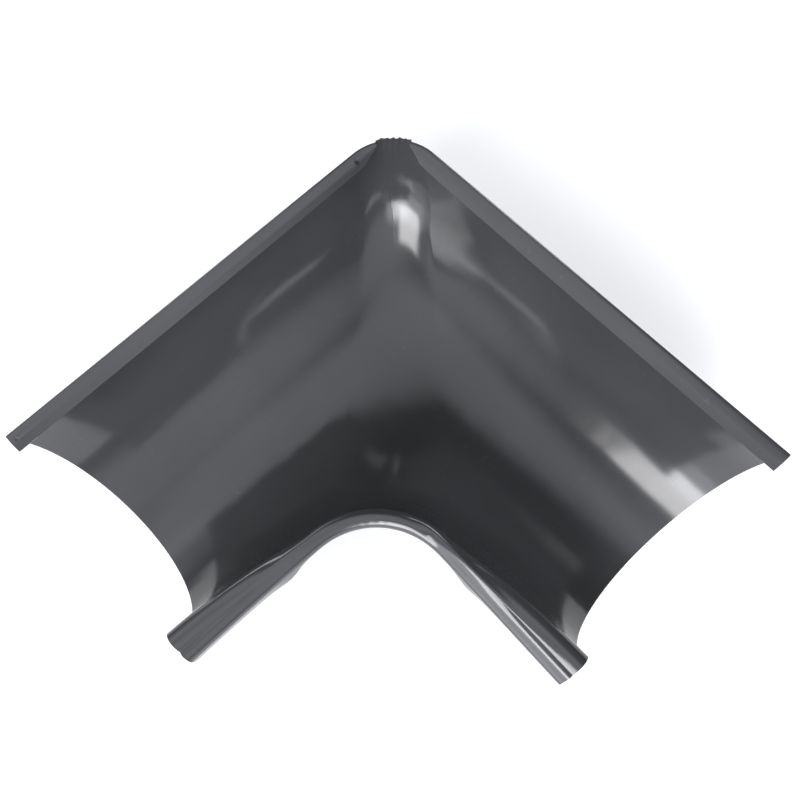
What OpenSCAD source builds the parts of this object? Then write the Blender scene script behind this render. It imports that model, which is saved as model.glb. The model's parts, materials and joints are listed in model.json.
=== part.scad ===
// Half-round gutter angle, 90 degrees, pressed from one sheet of painted steel.
// The back rim runs round the outside of the bend and the rolled bead round the
// inside. Wing A runs towards -X and wing B towards -Y.

/* [Gutter] */
// Inside diameter of the half-round trough
gutter_d = 125; // [110:1:150]
// Thickness of the sheet
sheet = 0.6; // [0.5:0.1:0.9]
// Outside length of each wing, from the square corner to its open end
leg = 254; // [235:1:320]
// Height of the back rim above the centre of the half round
back_rise = 18.3; // [14:0.1:26]

/* [Back lip] */
// Width of the lip that is folded in from the back rim
lip_w = 10.6; // [8:0.1:14]
// Fall of the lip from the rim to its free edge
lip_drop = 3.2; // [1:0.1:4]
// Height of the crease along the middle of the lip
lip_crown = 0.4; // [0:0.05:0.6]
// Radius of the fold between the back wall and the lip
fold_r = 1.6; // [1.2:0.1:2.4]
// Half of the bend, in degrees, that the lip leaves open at the corner
lip_gap = 18; // [12:1:24]

/* [Front bead] */
// How far the bead leans in over the trough at an open end
bead_lean = 2; // [0:0.1:3]
// How much further it leans in at the open end of wing A
wing_a_lean = 2; // [0:0.1:3]
// Radius of the bead's upper lobe at an open end
lobe_r = 5.2; // [4.4:0.1:6]
// Radius of the bead's outer lobe at an open end
outer_lobe_r = 3.6; // [3:0.1:4.4]
// Distance between the centres of the two lobes, across the gutter
lobe_pitch = 8; // [7.6:0.1:9.6]
// Height of the upper lobe's centre above the centre of the half round
lobe_rise = 2.4; // [0:0.1:4]
// Straight flank below the outer lobe
flank_h = 6; // [3:0.1:9]
// Radius of the curl that ends the bead underneath
curl_r = 4.5; // [3.5:0.1:5]
// Radius of the narrow roll that takes the bead round the bend
roll_r = 4.2; // [3.2:0.1:4.8]
// How far the curl stands proud where it starts, beside the bend
curl_flare = 1.4; // [0:0.1:2]

/* [Bend] */
// Radius of the bend at the back rim
back_bend_r = 31.5; // [27:0.5:40]
// Radius of the bend at the inside of the narrow roll
front_bend_r = 49; // [40:1:56]

/* [Gathers] */
// Height of the gathered edge above the back wall at the corner
collar_h = 1.9; // [1.6:0.1:6]
// Number of gathers in that edge
gathers = 6; // [4:1:8]
// Depth of each gather, crest to hollow
gather_depth = 0.9; // [0.4:0.1:1.6]
// Depth of the nick near the middle of the edge
nick_depth = 1; // [0.4:0.1:1.4]

/* [Lip holes] */
// Diameter of the pierced hole in the lip of wing A
hole_d = 2.6; // [2:0.1:3.4]
// Distance of that hole from the square corner
hole_at = 33; // [30:1:60]
// Diameter of the punch mark near the open end of wing A
mark_d = 2.6; // [1.6:0.1:2.8]
// Distance of that punch mark from the open end
mark_inset = 3.4; // [3:0.1:12]

/* [Hidden] */
paint = [0.27, 0.28, 0.30];

// The sheet's mid-line is drawn as points [u, z]: u is the distance in from the
// outside of the back wall and z the height over the centre of the half round.
half_t = sheet / 2;
mid_r = gutter_d / 2 + half_t;
centre_u = half_t + mid_r;
rim_z = back_rise - half_t;
fold_z = rim_z - fold_r;
lip_slope = atan2(lip_drop, lip_w);

// Steps along the curves of the section
quarter_steps = 12;
wall_steps = 4;
fold_steps = 3;
collar_steps = 3;
lobe_steps = 9;
groove_steps = 3;
outer_steps = 6;
curl_steps = 7;

// Place of the front wall and the bead, at the open ends and round the bend
lean_a = 12;
groove_r = 1.5;
wall_u = centre_u + mid_r - bead_lean;
lobe_c = [wall_u + lobe_r, lobe_rise];
outer_c = lobe_c + [lobe_pitch, -1.5];
front_u = outer_c[0] + outer_lobe_r;
roll_c = [front_u - roll_r, lobe_rise];
roll_wall_u = roll_c[0] - roll_r;
front_bend_c = roll_wall_u + front_bend_r;

function mix(a, b, k) = a + (b - a) * k;
function clamp(v) = max(0, min(1, v));
function smooth(v) = let (c = clamp(v)) c * c * (3 - 2 * c);
function on_circle(c, r, a) = c + r * [cos(a), sin(a)];
function arc(c, r, a0, a1, n, first = 0) =
    [for (i = [first:n]) on_circle(c, r, mix(a0, a1, i / n))];
// Angle at the first corner of a triangle, from its three sides
function corner_angle(near, base, far) =
    acos((near * near + base * base - far * far) / (2 * near * base));

// Lip and fold, from the free edge of the lip to the top of the back wall
fold_c = [half_t + fold_r, fold_z];
lip_root = on_circle(fold_c, fold_r, 90 - lip_slope);
lip_len = (lip_w - half_t * sin(lip_slope) - lip_root[0]) / cos(lip_slope);
function lip_path(k) = let (edge = lip_root + k * lip_len * [cos(lip_slope), -sin(lip_slope)]) concat(
    [edge],
    [for (a = [0.44, 0.56]) mix(edge, lip_root, a) + k * lip_crown * [sin(lip_slope), cos(lip_slope)]],
    [for (i = [0:fold_steps - 1])
        on_circle(fold_c, fold_r, mix(90 - lip_slope, 180, i / fold_steps))]);
LIP_N = 3 + fold_steps;

// Back wall and the half round down to the bottom of the trough
back_path = concat(
    [for (i = [0:wall_steps - 1]) [half_t, fold_z * (1 - i / wall_steps)]],
    arc([centre_u, 0], mid_r, 180, 270, quarter_steps));

// Front half of the trough: a true quarter round at the ends, drawn out under the roll
function front_path(reach, top_u) = concat(
    [for (i = [1:quarter_steps]) let (a = mix(270, 360 - lean_a, i / quarter_steps))
        [centre_u + reach * cos(a), mid_r * sin(a)]],
    [mix([centre_u + reach * cos(lean_a), -mid_r * sin(lean_a)], [top_u, lobe_rise], 0.55)]);

// Full bead: upper lobe, groove, outer lobe, flank and curl
span = norm(outer_c - lobe_c);
tilt = atan2(outer_c[1] - lobe_c[1], outer_c[0] - lobe_c[0]);
lobe_end = tilt + corner_angle(lobe_r + groove_r, span, outer_lobe_r + groove_r);
outer_start = 180 + tilt - corner_angle(outer_lobe_r + groove_r, span, lobe_r + groove_r);
groove_c = on_circle(lobe_c, lobe_r + groove_r, lobe_end);
curl_c = [front_u - curl_r, outer_c[1] - flank_h];
upper_lobe = arc(lobe_c, lobe_r, 180, lobe_end, lobe_steps);
outer_lobe = concat(
    arc(groove_c, groove_r, 180 + lobe_end, 180 + outer_start, groove_steps, 1),
    arc(outer_c, outer_lobe_r, outer_start, 0, outer_steps, 1));
curl = arc(curl_c, curl_r, 0, -150, curl_steps);

// Narrow roll round the bend, with as many points as the full bead
end_bead = concat(upper_lobe, outer_lobe, curl);
bead_n = len(end_bead);
curl_first = bead_n - len(curl);
roll_turn = 235;
bend_bead = [for (i = [0:bead_n - 1]) on_circle(roll_c, roll_r, 180 - roll_turn * i / (bead_n - 1))];

// Share of the full bead at a place f along the straight: 0 at the bend, 1 at the end.
// The lobes grow slowly and the curl sets in at once.
function lobe_share(f) = 1 - pow(1 - f, 1.8);
function curl_share(f) = smooth((f - 0.08) / 0.16);
function flare(f) = curl_flare * smooth(1 - abs(f - 0.25) / 0.14);
function bead_point(f, i) = i < curl_first
    ? mix(bend_bead[i], end_bead[i], lobe_share(f))
    : mix(bend_bead[i], end_bead[i], curl_share(f)) + [flare(f), 0];

end_front = front_path(mid_r, wall_u);
bend_front = front_path(roll_wall_u - centre_u, roll_wall_u);
function body_path(f, extra_lean = 0) = let (in = [-extra_lean * lobe_share(f), 0], n = len(end_front)) concat(
    back_path,
    [for (i = [0:n - 1]) mix(bend_front[i], end_front[i], lobe_share(f)) + in * pow((i + 1) / n, 3)],
    [for (i = [0:bead_n - 1]) bead_point(f, i) + in]);
BODY_N = len(back_path) + len(end_front) + bead_n;

// Gathered edge above the back wall, open to the outside at the corner.
// phi is the angle from the middle of the bend.
gather_a = 2 * lip_gap / gathers;
function nick(phi) = nick_depth * smooth(1 - abs(phi - 3) / 3.5);
function collar_top(phi) = collar_h + 0.35 * sin(phi * 23) - nick(phi);
function collar_path(phi) =
    [for (i = [0:collar_steps - 1])
        [half_t, fold_z + collar_top(phi) * (1 - i / collar_steps)]];
// Outward swing of the sheet in the gathers
function swing(phi, z) = gather_depth / 2 * cos(360 * phi / gather_a)
    * smooth((lip_gap - abs(phi)) / 3) * smooth((z - 2) / (fold_z + 1));

// Unit normal of a path at one of its points, towards the inside of the trough
function normal(p, i) = let (
    d = p[min(i + 1, len(p) - 1)] - p[max(i - 1, 0)]) [-d[1], d[0]] / norm(d);
// The two faces of the sheet, as [u, z, u of the mid-line]
function faces_of(p, first, n) = [for (i = [first:first + n - 1]) let (q = normal(p, i))
    [[p[i][0] + half_t * q[0], p[i][1] + half_t * q[1], p[i][0]],
     [p[i][0] - half_t * q[0], p[i][1] - half_t * q[1], p[i][0]]]];

// Distance of the bend's centre line from both back walls, for a point of the section.
// The back keeps one centre, the bead another, and the trough runs between them.
function bend_centre(i) = let (u = i < LIP_N ? 0 : bend_u[i - LIP_N])
    i < LIP_N + wall_steps || i >= LIP_N + BODY_N ? back_bend_r
    : min(front_bend_c, mix(back_bend_r, front_bend_c, u / roll_wall_u));
bend_u = [for (p = body_path(0)) p[0]];

// A station is ["wing", side, f] along a straight or ["bend", phi] round the bend
straight_fs = [1, 0.78, 0.58, 0.42, 0.32, 0.25, 0.18, 0.1];
open_fs = [45, 39, 33, 27.5, 22.5];
gap_half = ceil(3 * gathers / 2);
bend_phis = concat(
    [for (a = open_fs) -mix(lip_gap, 45, (a - 18) / 27)],
    [for (i = [-gap_half:gap_half]) lip_gap * i / gap_half],
    [for (i = [len(open_fs) - 1:-1:0]) mix(lip_gap, 45, (open_fs[i] - 18) / 27)]);
stations = concat(
    [for (f = straight_fs) [-1, f, -45]],
    [for (phi = bend_phis) [0, 0, phi]],
    [for (i = [len(straight_fs) - 1:-1:0]) [1, straight_fs[i], 45]]);

function place(side, f, phi, q, centre) =
    let (r = centre - q[0] + (side == 0 ? swing(phi, q[1]) : 0),
         s = mix(centre, leg, f))
    side < 0 ? [-s, -q[0], q[1]]
    : side > 0 ? [-q[0], -s, q[1]]
    : [-centre + r * sin(45 + phi), -centre + r * cos(45 + phi), q[1]];

function lip_share(phi) = pow(max(0.05, (abs(phi) - lip_gap + 1.5) / (46.5 - lip_gap)), 0.7);
function station_points(st) = let (
    body = body_path(st[1], st[0] < 0 ? wing_a_lean : 0),
    folded = concat(lip_path(lip_share(st[2])), body),
    upright = concat(collar_path(st[2]), body),
    all = concat(
        faces_of(folded, 0, LIP_N),
        faces_of(st[0] == 0 && abs(st[2]) <= lip_gap ? upright : folded,
            st[0] == 0 && abs(st[2]) <= lip_gap ? collar_steps : LIP_N, BODY_N),
        faces_of(upright, 0, collar_steps)))
    [for (i = [0:len(all) - 1]) for (k = [0, 1])
        place(st[0], st[1], st[2], all[i][k], bend_centre(i))];

ROW = LIP_N + BODY_N + collar_steps;
function id(j, i, k) = (j * ROW + i) * 2 + k;
function quad(a, b, c, d) = [[a, c, b], [a, d, c]];
function flip(faces) = [for (f = faces) [f[2], f[1], f[0]]];
// One strip of the sheet between two stations, on both faces
function strip(j, i0, i1) = concat(
    quad(id(j, i0, 0), id(j, i1, 0), id(j + 1, i1, 0), id(j + 1, i0, 0)),
    quad(id(j, i0, 1), id(j + 1, i0, 1), id(j + 1, i1, 1), id(j, i1, 1)));
// The cut edge of the sheet that runs along the part
function edge(j, i) = quad(id(j, i, 0), id(j + 1, i, 0), id(j + 1, i, 1), id(j, i, 1));
// The cut edge of the sheet across the part
function cut(j, i0, i1) = quad(id(j, i0, 0), id(j, i0, 1), id(j, i1, 1), id(j, i1, 0));

last = len(stations) - 1;
gap_first = len(straight_fs) + len(open_fs);
gap_last = last - gap_first;
collar_0 = LIP_N + BODY_N;
function collar_id(i) = i < collar_steps ? collar_0 + i : LIP_N;
sheet_faces = concat(
    // wall, trough and bead
    [for (j = [0:last - 1]) for (i = [LIP_N:LIP_N + BODY_N - 2]) each strip(j, i, i + 1)],
    [for (j = [0:last - 1]) each flip(edge(j, LIP_N + BODY_N - 1))],
    // the lip on both wings
    [for (j = [0:last - 1]) if (j < gap_first || j >= gap_last) each concat(
        [for (i = [0:LIP_N - 1]) each strip(j, i, i + 1)], edge(j, 0))],
    // the gathered edge between them
    [for (j = [gap_first:gap_last - 1]) each concat(
        [for (i = [0:collar_steps - 1]) each strip(j, collar_id(i), collar_id(i + 1))],
        edge(j, collar_0))],
    // open ends, then the ends of the lips and of the gathered edge
    [for (i = [0:LIP_N + BODY_N - 2]) each cut(0, i, i + 1)],
    [for (i = [0:LIP_N + BODY_N - 2]) each flip(cut(last, i, i + 1))],
    [for (i = [0:LIP_N - 1]) each concat(
        flip(cut(gap_first, i, i + 1)), cut(gap_last, i, i + 1))],
    [for (i = [0:collar_steps - 1]) each concat(
        cut(gap_first, collar_id(i), collar_id(i + 1)),
        flip(cut(gap_last, collar_id(i), collar_id(i + 1))))]);

module pressed_sheet() {
    polyhedron(
        points = [for (st = stations) each station_points(st)],
        faces = sheet_faces,
        convexity = 10);
}

module gutter_angle() {
    lip_mid = (lip_w + 2 * fold_r) / 2 - 0.6;
    mark_r = 2.3;
    mark_z = lip_root[1] - (lip_mid - lip_root[0]) * tan(lip_slope)
        + (half_t + lip_crown) / cos(lip_slope);
    color(paint)
    translate([leg / 2, leg / 2, mid_r + half_t])
    difference() {
        pressed_sheet();
        translate([-hole_at, -lip_mid, 0])
            cylinder(d = hole_d, h = back_rise + 5, $fn = 32);
        translate([-leg + mark_inset, -lip_mid, mark_z + sqrt(pow(mark_r, 2) - pow(mark_d / 2, 2))])
            sphere(r = mark_r, $fn = 32);
    }
}

gutter_angle();
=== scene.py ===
# %% [markdown]
# # A half-round gutter angle in graphite coil coating
# This lesson dresses one pressed steel part: the corner piece that turns a half-round gutter
# through 90 degrees. The CAD model is loaded first and stays where it is. Everything made here
# is in metres and in the same frame, so nothing has to be fitted by eye.

# %% Load the CAD frame and keep its box
import json
import math
import bpy
import bmesh
from mathutils import Matrix, Vector

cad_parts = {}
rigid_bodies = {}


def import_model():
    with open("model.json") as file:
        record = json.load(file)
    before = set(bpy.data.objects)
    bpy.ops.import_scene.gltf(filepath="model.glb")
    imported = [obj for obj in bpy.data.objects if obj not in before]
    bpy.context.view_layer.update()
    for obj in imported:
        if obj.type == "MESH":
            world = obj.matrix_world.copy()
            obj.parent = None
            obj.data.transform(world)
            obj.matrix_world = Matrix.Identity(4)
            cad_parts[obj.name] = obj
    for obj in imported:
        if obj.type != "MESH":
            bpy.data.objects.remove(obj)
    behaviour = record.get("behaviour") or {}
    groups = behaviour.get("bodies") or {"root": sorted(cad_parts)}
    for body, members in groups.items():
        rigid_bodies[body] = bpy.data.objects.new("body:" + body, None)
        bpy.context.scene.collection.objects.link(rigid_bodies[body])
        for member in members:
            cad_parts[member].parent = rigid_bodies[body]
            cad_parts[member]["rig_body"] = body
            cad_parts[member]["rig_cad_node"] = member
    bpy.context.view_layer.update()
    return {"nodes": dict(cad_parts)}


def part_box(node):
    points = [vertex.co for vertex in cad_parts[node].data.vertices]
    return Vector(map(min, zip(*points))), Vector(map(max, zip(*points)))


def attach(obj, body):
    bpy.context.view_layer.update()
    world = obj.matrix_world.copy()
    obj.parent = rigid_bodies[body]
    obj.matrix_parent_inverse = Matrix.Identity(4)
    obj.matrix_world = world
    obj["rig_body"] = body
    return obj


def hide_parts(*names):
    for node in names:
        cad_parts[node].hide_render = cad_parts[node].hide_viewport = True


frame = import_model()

bpy.ops.object.select_all(action="DESELECT")

# %% [markdown]
# ## The sheet
# On the real part everything is one sheet of 0.6 mm steel: trough, back lip and rolled bead.
# The CAD node already has that shape, as flat facets. It could be modelled again from nothing,
# but a copy is sure to fit. The copy's loose triangles are merged into one skin and turned back
# into quads, because a subdivision surface bends quads evenly and triangles in ripples.

# %% Copy the CAD node and merge its loose triangles
MERGE_WITHIN = 0.00001
QUAD_FLATNESS = math.radians(25)
QUAD_SQUARENESS = math.radians(60)
cad_node = frame["nodes"]["gutter_angle"]
cad_node.select_set(True)
bpy.context.view_layer.objects.active = cad_node
bpy.ops.object.duplicate()
sheet = bpy.context.active_object
sheet.name = "pressed_sheet"
sheet.data.name = "pressed_sheet"
bpy.ops.object.parent_clear(type="CLEAR_KEEP_TRANSFORM")
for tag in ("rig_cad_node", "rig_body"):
    if tag in sheet:
        del sheet[tag]
cad_node.select_set(False)
bpy.ops.object.mode_set(mode="EDIT")
bpy.ops.mesh.select_all(action="SELECT")
bpy.ops.mesh.remove_doubles(threshold=MERGE_WITHIN)
bpy.ops.mesh.customdata_custom_splitnormals_clear()
bpy.ops.mesh.tris_convert_to_quads(face_threshold=QUAD_FLATNESS, shape_threshold=QUAD_SQUARENESS)
bpy.ops.object.mode_set(mode="OBJECT")
print("skin:", len(sheet.data.vertices), "points,", len(sheet.data.polygons), "faces")

# %% [markdown]
# ## Cut edges
# The steel is painted first and cut afterwards, so its cut edges are square and bare: a bright
# line of zinc and steel all round. The edges are creased, so that the subdivision surface keeps
# them square and doesn't swell the sheet into a wire. The narrow faces between two creased
# edges are the cut edge itself, and get the second material.

# %% Crease the cut edges and mark the faces between them
SHARP = math.radians(50)
SHEET_T = 0.0006
skin = bmesh.new()
skin.from_mesh(sheet.data)
crease = skin.edges.layers.float.get("crease_edge") or skin.edges.layers.float.new("crease_edge")
cut_edges = {e for e in skin.edges if len(e.link_faces) != 2 or e.calc_face_angle(0) > SHARP}
for edge in cut_edges:
    edge[crease] = 1.0
for face in skin.faces:
    long_sides = [e for e in face.edges if e in cut_edges]
    width = 2 * face.calc_area() / face.calc_perimeter()
    face.material_index = 1 if len(long_sides) >= 2 and width < SHEET_T else 0
bare_faces = sum(1 for face in skin.faces if face.material_index == 1)
skin.to_mesh(sheet.data)
skin.free()
print("creased edges:", len(cut_edges), "bare faces:", bare_faces)

# %% Round the skin
ROUNDS = 2
rounding = sheet.modifiers.new("rounding", "SUBSURF")
rounding.levels = ROUNDS
rounding.render_levels = ROUNDS
bpy.ops.object.modifier_apply(modifier="rounding")
print("rounded skin:", len(sheet.data.polygons), "faces")

# %% [markdown]
# ## The bead's top
# The press leaves the bead with one broad top that slopes down to its outer edge, rather than
# with two round lobes and a groove. It shows at once in the way that the window lies in the
# gloss. The skin's points are moved up or down by a short formula, as a sculptor's brush would,
# and both faces of the sheet move together, so that its thickness stays. Each press is a height,
# its distance in from the back wall, and how far it reaches to either side, in metres.

# %% Press the bead's top
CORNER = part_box("gutter_angle")[1][0]
BEAD_STARTS = 0.155
BEAD_GROWS_OVER = 0.04
BEAD_FROM_Z = 0.062
PRESS = {
    "a": ((0.0012, 0.1340, 0.0026),),
    "b": ((0.0016, 0.1352, 0.0021), (-0.0010, 0.1395, 0.0018)),
}


def bead_place(point):
    """Wing, distance in from the back wall, and share of the full bead, for a point of the skin."""
    wing, inward, along = "a", CORNER - point.y, CORNER - point.x
    if inward > along:
        wing, inward, along = "b", along, inward
    share = max(0.0, min(1.0, (along - BEAD_STARTS) / BEAD_GROWS_OVER))
    return wing, inward, share * share * (3 - 2 * share)


def press_bead(point):
    if point.z < BEAD_FROM_Z:
        return 0.0
    wing, inward, share = bead_place(point)
    move = share * sum(height * math.exp(-((inward - middle) / reach) ** 2)
                       for height, middle, reach in PRESS[wing])
    point.z += move
    return move


moves = [press_bead(vertex.co) for vertex in sheet.data.vertices]
print("bead top moved from", round(1000 * min(moves), 2), "to", round(1000 * max(moves), 2), "mm")

# %% Smooth shading, with the cut edges kept sharp
SMOOTH_UP_TO = math.radians(40)
bpy.ops.object.shade_smooth_by_angle(angle=SMOOTH_UP_TO)
print("smooth faces:", sum(1 for face in sheet.data.polygons if face.use_smooth))

# %% [markdown]
# ## The paint
# The real finish is a coil coating: polyester paint baked on the flat sheet before it is
# pressed. It is a dark blue-grey with a satin gloss. A clear coat over a rougher base gives that
# look, because the gloss layer mirrors the room and the base keeps the colour even.

# %% A new material, with its nodes and its shader
def new_material(name):
    mat = bpy.data.materials.new(name)
    mat.use_nodes = True
    nodes = mat.node_tree.nodes
    return mat, nodes, mat.node_tree.links, nodes["Principled BSDF"]


def noise(nodes, links, where, scale, detail=2.0, rough=0.5):
    node = nodes.new("ShaderNodeTexNoise")
    node.inputs["Scale"].default_value = scale
    node.inputs["Detail"].default_value = detail
    node.inputs["Roughness"].default_value = rough
    links.new(where, node.inputs["Vector"])
    return node.outputs["Fac"]


def ramp(nodes, links, value, stops):
    node = nodes.new("ShaderNodeValToRGB")
    while len(node.color_ramp.elements) < len(stops):
        node.color_ramp.elements.new(0.5)
    for element, (at, colour) in zip(node.color_ramp.elements, stops):
        element.position = at
        element.color = (*colour, 1.0)
    links.new(value, node.inputs["Fac"])
    return node.outputs["Color"]


# %% Graphite coating, colour and clouding
DEEP_GRAPHITE = (0.043, 0.0435, 0.0455)
PALE_GRAPHITE = (0.052, 0.0525, 0.055)
CLOUDS_PER_METRE = 14.0
graphite, nodes, links, paint = new_material("graphite_coating")
place = nodes.new("ShaderNodeTexCoord").outputs["Object"]
cloud = noise(nodes, links, place, CLOUDS_PER_METRE, 3.0, 0.55)
tone = ramp(nodes, links, cloud, [(0.3, DEEP_GRAPHITE), (0.7, PALE_GRAPHITE)])
paint.inputs["Specular IOR Level"].default_value = 0.0
paint.inputs["Coat Weight"].default_value = 1.0
paint.inputs["Coat IOR"].default_value = 1.6
paint.inputs["Coat Roughness"].default_value = 0.15

# %% [markdown]
# Handling leaves a coil coating with a light bloom of dust and patches that are a little duller,
# and baking leaves a fine grain, like the skin of an orange. The dust is a paler tone where two
# noises meet. The grain is a bump under the gloss, and a slower wave of the sheet is a bump of
# both layers, much too low to see other than in the reflections.

# %% Dust and dull patches
BLACK = (0.0, 0.0, 0.0)
WHITE = (1.0, 1.0, 1.0)
DUST = (0.085, 0.085, 0.084, 1.0)
SPECKS_PER_METRE = 420.0
PATCHES_PER_METRE = 30.0
speck = noise(nodes, links, place, SPECKS_PER_METRE, 2.0, 0.6)
patchy = noise(nodes, links, place, PATCHES_PER_METRE, 4.0, 0.65)
dust = nodes.new("ShaderNodeMath")
dust.operation = "MULTIPLY"
links.new(ramp(nodes, links, speck, [(0.62, BLACK), (0.80, WHITE)]), dust.inputs[0])
links.new(ramp(nodes, links, patchy, [(0.45, BLACK), (0.75, WHITE)]), dust.inputs[1])
dusted = nodes.new("ShaderNodeMix")
dusted.data_type = "RGBA"
links.new(dust.outputs[0], dusted.inputs["Factor"])
links.new(tone, dusted.inputs["A"])
dusted.inputs["B"].default_value = DUST
links.new(dusted.outputs["Result"], paint.inputs["Base Color"])
wear = ramp(nodes, links, patchy, [(0.3, (0.36, 0.36, 0.36)), (0.75, (0.50, 0.50, 0.50))])
links.new(wear, paint.inputs["Roughness"])

# %% Grain and slow waves
def bump(nodes, links, height, distance, strength):
    node = nodes.new("ShaderNodeBump")
    node.inputs["Distance"].default_value = distance
    node.inputs["Strength"].default_value = strength
    links.new(height, node.inputs["Height"])
    return node


GRAINS_PER_METRE = 900.0
WAVES_PER_METRE = 45.0
grain = bump(nodes, links, noise(nodes, links, place, GRAINS_PER_METRE, 2.0, 0.5), 0.00001, 0.3)
wave = bump(nodes, links, noise(nodes, links, place, WAVES_PER_METRE, 1.0, 0.4), 0.00022, 1.0)
links.new(wave.outputs["Normal"], grain.inputs["Normal"])
links.new(grain.outputs["Normal"], paint.inputs["Normal"])
links.new(wave.outputs["Normal"], paint.inputs["Coat Normal"])
print("graphite coating:", len(nodes), "nodes")

# %% [markdown]
# ## The bare edge
# Shears leave a cut edge with a burnished strip and a torn, duller one, and the zinc smears over
# both. So its colour and its roughness change along the edge, over a millimetre or two.

# %% Bare cut edge
DULL_ZINC = (0.34, 0.35, 0.37)
BRIGHT_ZINC = (0.62, 0.63, 0.65)
SMEARS_PER_METRE = 700.0
bare, nodes, links, metal = new_material("bare_cut_edge")
place = nodes.new("ShaderNodeTexCoord").outputs["Object"]
smear = noise(nodes, links, place, SMEARS_PER_METRE, 3.0, 0.6)
zinc = ramp(nodes, links, smear, [(0.35, DULL_ZINC), (0.65, BRIGHT_ZINC)])
links.new(zinc, metal.inputs["Base Color"])
torn = ramp(nodes, links, smear, [(0.35, (0.60, 0.60, 0.60)), (0.65, (0.38, 0.38, 0.38))])
links.new(torn, metal.inputs["Roughness"])
metal.inputs["Metallic"].default_value = 0.8
burr = bump(nodes, links, smear, 0.00003, 0.7)
links.new(burr.outputs["Normal"], metal.inputs["Normal"])
print("bare edge:", len(nodes), "nodes")

# %% Put the finish on the sheet
sheet.data.materials.clear()
sheet.data.materials.append(graphite)
sheet.data.materials.append(bare)
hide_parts("gutter_angle")
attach(sheet, "root")
print("finishes on the sheet:", [material.name for material in sheet.data.materials])

# %% [markdown]
# ## Floor
# The part lies on a plain pale floor. The floor keeps the part's soft shadow, and a little glow
# that only the camera and mirror-like rays see takes it up to white.

# %% Floor
FLOOR_SIZE = 6.0
FLOOR_GREY = (0.8, 0.8, 0.8, 1.0)
bpy.ops.mesh.primitive_plane_add(size=FLOOR_SIZE, location=(0.0, 0.0, 0.0))
floor = bpy.context.active_object
floor.name = "floor"
pale, nodes, links, matte = new_material("pale_floor")
matte.inputs["Base Color"].default_value = FLOOR_GREY
matte.inputs["Roughness"].default_value = 0.9
matte.inputs["Specular IOR Level"].default_value = 0.1

# %% Floor glow for camera, glossy and transmission rays
FLOOR_GLOW = 0.30
glow = nodes.new("ShaderNodeEmission")
glow.inputs["Strength"].default_value = FLOOR_GLOW
ray = nodes.new("ShaderNodeLightPath")
by_eye_or_gloss = nodes.new("ShaderNodeMath")
by_eye_or_gloss.operation = "MAXIMUM"
links.new(ray.outputs["Is Camera Ray"], by_eye_or_gloss.inputs[0])
links.new(ray.outputs["Is Glossy Ray"], by_eye_or_gloss.inputs[1])
by_any = nodes.new("ShaderNodeMath")
by_any.operation = "MAXIMUM"
links.new(by_eye_or_gloss.outputs[0], by_any.inputs[0])
links.new(ray.outputs["Is Transmission Ray"], by_any.inputs[1])
both = nodes.new("ShaderNodeAddShader")
only_seen = nodes.new("ShaderNodeMixShader")
links.new(matte.outputs["BSDF"], both.inputs[0])
links.new(glow.outputs["Emission"], both.inputs[1])
links.new(by_any.outputs[0], only_seen.inputs["Fac"])
links.new(matte.outputs["BSDF"], only_seen.inputs[1])
links.new(both.outputs["Shader"], only_seen.inputs[2])
links.new(only_seen.outputs["Shader"], nodes["Material Output"].inputs["Surface"])
floor.data.materials.append(pale)
print("floor:", len(nodes), "nodes, glow", FLOOR_GLOW)

# %% [markdown]
# ## Room light
# The gloss coat mirrors the room, so the room is drawn in the world: a dim room that is dark on
# its +X side, one tall window, and a few softer patches. A direction is told by two angles: its
# lean from straight up, and its turn from +X. The window is a range of both, and a glow patch is
# a soft round spot about one direction. The camera itself sees a plain pale room behind the part.
# The places and strengths of the patches were fitted to the reflections in the photograph.

# %% Angles of a direction
room = bpy.data.worlds.new("room")
bpy.context.scene.world = room
room.use_nodes = True
nodes, links = room.node_tree.nodes, room.node_tree.links


def math_node(operation, *values):
    node = nodes.new("ShaderNodeMath")
    node.operation = operation
    for socket, value in zip(node.inputs, values):
        if isinstance(value, (int, float)):
            socket.default_value = value
        else:
            links.new(value, socket)
    return node.outputs[0]


direction = nodes.new("ShaderNodeTexCoord").outputs["Generated"]
axes = nodes.new("ShaderNodeSeparateXYZ")
links.new(direction, axes.inputs["Vector"])
lean_of = math_node("DEGREES", math_node("ARCCOSINE", axes.outputs["Z"]))
turn_of = math_node("DEGREES", math_node("ARCTAN2", axes.outputs["Y"], axes.outputs["X"]))
print("direction nodes:", len(nodes))

# %% Soft steps and the window
def soft_step(value, near, far, high):
    node = nodes.new("ShaderNodeMapRange")
    node.interpolation_type = "SMOOTHSTEP"
    for name, number in (("From Min", near), ("From Max", far), ("To Min", 0.0), ("To Max", high)):
        node.inputs[name].default_value = number
    links.new(value, node.inputs["Value"])
    return node.outputs["Result"]


def window(leans, turns, edge, radiance):
    off_lean = math_node("ABSOLUTE", math_node("SUBTRACT", lean_of, sum(leans) / 2))
    past_middle = math_node("SUBTRACT", turn_of, sum(turns) / 2)
    off_turn = math_node("ABSOLUTE", math_node("WRAP", past_middle, 180, -180))
    tall, wide = (leans[1] - leans[0]) / 2, (turns[1] - turns[0]) / 2
    return math_node("MULTIPLY", soft_step(off_lean, tall + edge, tall - edge, radiance),
                     soft_step(off_turn, wide + edge, wide - edge, 1.0))


# %% Glow patches
def glow_patch(lean, turn, middle, fade, radiance):
    lean, turn = math.radians(lean), math.radians(turn)
    facing = nodes.new("ShaderNodeVectorMath")
    facing.operation = "DOT_PRODUCT"
    links.new(direction, facing.inputs[0])
    facing.inputs[1].default_value = (
        math.sin(lean) * math.cos(turn), math.sin(lean) * math.sin(turn), math.cos(lean))
    return soft_step(facing.outputs["Value"], math.cos(math.radians(middle + fade)),
                     math.cos(math.radians(middle)), radiance)


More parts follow.
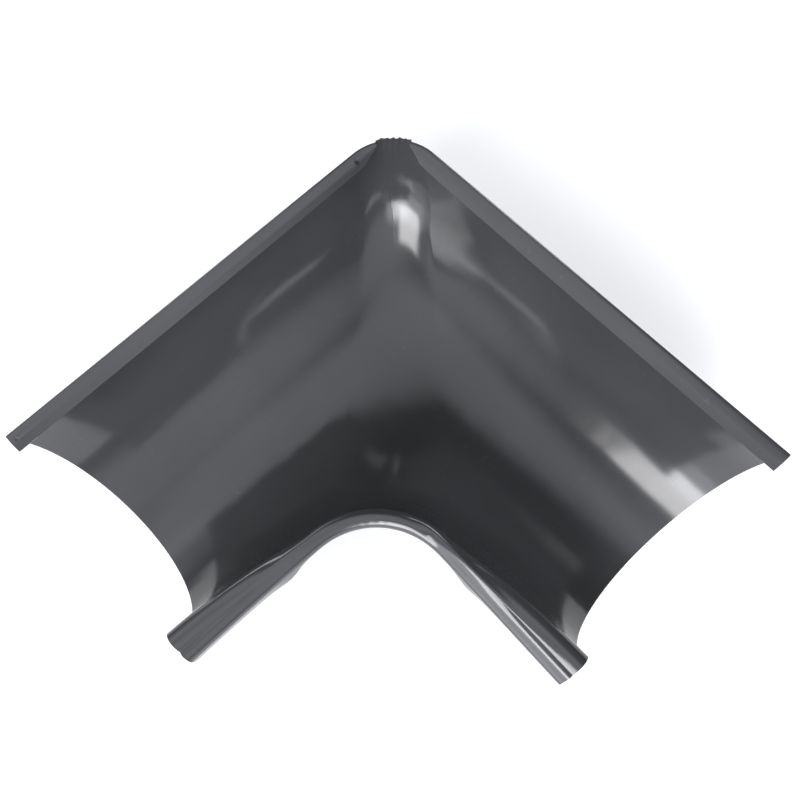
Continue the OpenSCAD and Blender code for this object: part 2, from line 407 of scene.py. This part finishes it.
# %% Draw the room
# Each glow patch: lean, turn, width of its even middle and of its fade in degrees, and radiance.
ROOM_LEVEL = 0.11
ROOM_DARK_FROM_X = 0.33
ROOM_LIT_FROM_X = 0.10
GLOW_PATCHES = (
    (73, 304, 6, 11, 8.68),
    (17, 94, 16, 20, 1.02),
    (86, 89, 6, 13, 4.6),
    (42, 252, 16, 24, 0.81),
    (68, 19, 3, 11, 6.44),
    (74, 221, 8, 14, 4.0),
    (87, 201, 18, 14, 2.84),
    (59, 140, 15, 21, 0.88),
)
dim = soft_step(axes.outputs["X"], ROOM_DARK_FROM_X, ROOM_LIT_FROM_X, ROOM_LEVEL)
for soft_patch in GLOW_PATCHES:
    dim = math_node("ADD", dim, glow_patch(*soft_patch))
tall_window = window((42, 76), (185.5, 218), 2, 9.0)
side_window = window((62, 78), (219, 227), 2, 5.0)
bright = math_node("ADD", tall_window, side_window)
print("glow patches:", len(GLOW_PATCHES))


# %% Room colour
def tinted(value, tint):
    node = nodes.new("ShaderNodeVectorMath")
    node.operation = "SCALE"
    node.inputs[0].default_value = tint
    links.new(value, node.inputs["Scale"])
    return node.outputs["Vector"]


ROOM_TINT = (0.97, 0.985, 1.04)
WINDOW_TINT = (1.0, 1.0, 1.02)
light = nodes.new("ShaderNodeVectorMath")
light.operation = "ADD"
links.new(tinted(dim, ROOM_TINT), light.inputs[0])
links.new(tinted(bright, WINDOW_TINT), light.inputs[1])
links.new(light.outputs["Vector"], nodes["Background"].inputs["Color"])

# %% What the camera sees behind the part
PALE_ROOM = (0.96, 0.96, 0.96, 1.0)
behind = nodes.new("ShaderNodeBackground")
behind.inputs["Color"].default_value = PALE_ROOM
seen = nodes.new("ShaderNodeLightPath")
choice = nodes.new("ShaderNodeMixShader")
links.new(seen.outputs["Is Camera Ray"], choice.inputs["Fac"])
links.new(nodes["Background"].outputs["Background"], choice.inputs[1])
links.new(behind.outputs["Background"], choice.inputs[2])
links.new(choice.outputs["Shader"], nodes["World Output"].inputs["Surface"])
print("room:", len(nodes), "nodes")

# %% [markdown]
# ## Camera
# The camera looks almost straight down into the trough, as in the photograph, with a wide lens
# close to the part. Its place, direction and lens come from fitting the rims and the end curves.

# %% Camera
EYE = Vector((-0.0207, -0.0543, 0.3316))
RIGHT = Vector((0.7312, -0.6795, -0.0597))
UP = Vector((0.6676, 0.6952, 0.2665))
BACK = Vector((-0.1396, -0.2348, 0.962))
LENS_PIXELS = 563.93
FRAME_PIXELS = 800
SENSOR_MM = 36.0
SHIFT_RIGHT = 0.0065
SHIFT_UP = 0.0131
NEAREST_SEEN = 0.01
bpy.ops.object.camera_add()
camera = bpy.context.active_object
camera.matrix_world = Matrix.Translation(EYE) @ Matrix((RIGHT, UP, BACK)).transposed().to_4x4()
camera.data.sensor_width = SENSOR_MM
camera.data.lens = LENS_PIXELS / FRAME_PIXELS * SENSOR_MM
camera.data.shift_x = SHIFT_RIGHT
camera.data.shift_y = SHIFT_UP
camera.data.clip_start = NEAREST_SEEN
bpy.context.scene.camera = camera
print("lens:", round(camera.data.lens, 2), "mm")

# %% [markdown]
# ## Close
# The Standard view keeps colours as they are written.

# %% Look and close
bpy.context.scene.view_settings.view_transform = "Standard"
